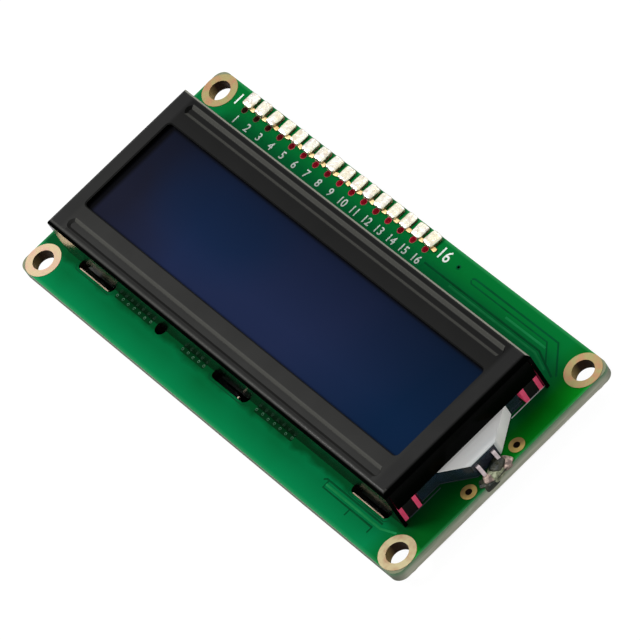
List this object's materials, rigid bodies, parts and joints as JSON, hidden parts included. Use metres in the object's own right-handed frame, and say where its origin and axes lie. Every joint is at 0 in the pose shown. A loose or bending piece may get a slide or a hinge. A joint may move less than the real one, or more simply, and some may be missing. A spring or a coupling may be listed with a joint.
{
  "type": "character lcd module",
  "caption": "Blue character display module: glass cell in a black pressed steel bezel on a green circuit board, with corner mounting holes, a header row and an end-lit backlight.",
  "frame": {"origin": "centre of the four mounting holes, on the front face of the circuit board", "axes": "+Z out of the display, +X along the board towards the backlight's lamp, +Y towards the edge with the header holes"},
  "size_m": [0.08, 0.036, 0.0102],
  "materials": {
    "green_board": "glossy solder mask over woven glass board",
    "gold_plating": "satin gold over copper",
    "solder": "bright solder",
    "tinned_lead": "tinned metal",
    "black_steel": "satin black paint on pressed steel",
    "polariser": "dark blue film, semi-gloss",
    "clear_glass": "polished",
    "seal_resin": "cured resin",
    "black_rubber": "laminated black rubber",
    "pink_rubber": "soft pink silicone rubber",
    "clear_acrylic": "polished acrylic",
    "white_film": "white film",
    "lamp_resin": "dark clear resin",
    "black_resin": "glossy black resin",
    "resistor_coat": "matt black coat",
    "capacitor_body": "tan ceramic"
  },
  "bodies": {
    "root": {"backlight_lamp": "lamp_resin", "bezel": "black_steel", "cell_seal": "seal_resin", "chip_capacitors": "capacitor_body", "chip_resistors": "resistor_coat", "chip_solder": "solder", "circuit_board": "green_board", "controller_drop": "black_resin", "diffuser_film": "white_film", "driver_drop": "black_resin", "fill_plug": "seal_resin", "front_glass": "clear_glass", "front_polariser": "polariser", "header_back_pads": "gold_plating", "header_pads": "gold_plating", "header_solder": "solder", "lamp_leads": "tinned_lead", "lamp_pads": "gold_plating", "lamp_solder": "solder", "light_guide": "clear_acrylic", "lower_board_contacts": "gold_plating", "lower_contact_strip_core": "black_rubber", "lower_contact_strip_walls": "pink_rubber", "mounting_hole_plating": "gold_plating", "nose_cover": "white_film", "rear_glass": "clear_glass", "rear_polariser": "polariser", "reflector_film": "white_film", "test_pads": "gold_plating", "upper_board_contacts": "gold_plating", "upper_contact_strip_core": "black_rubber", "upper_contact_strip_walls": "pink_rubber"}
  },
  "joints": []
}
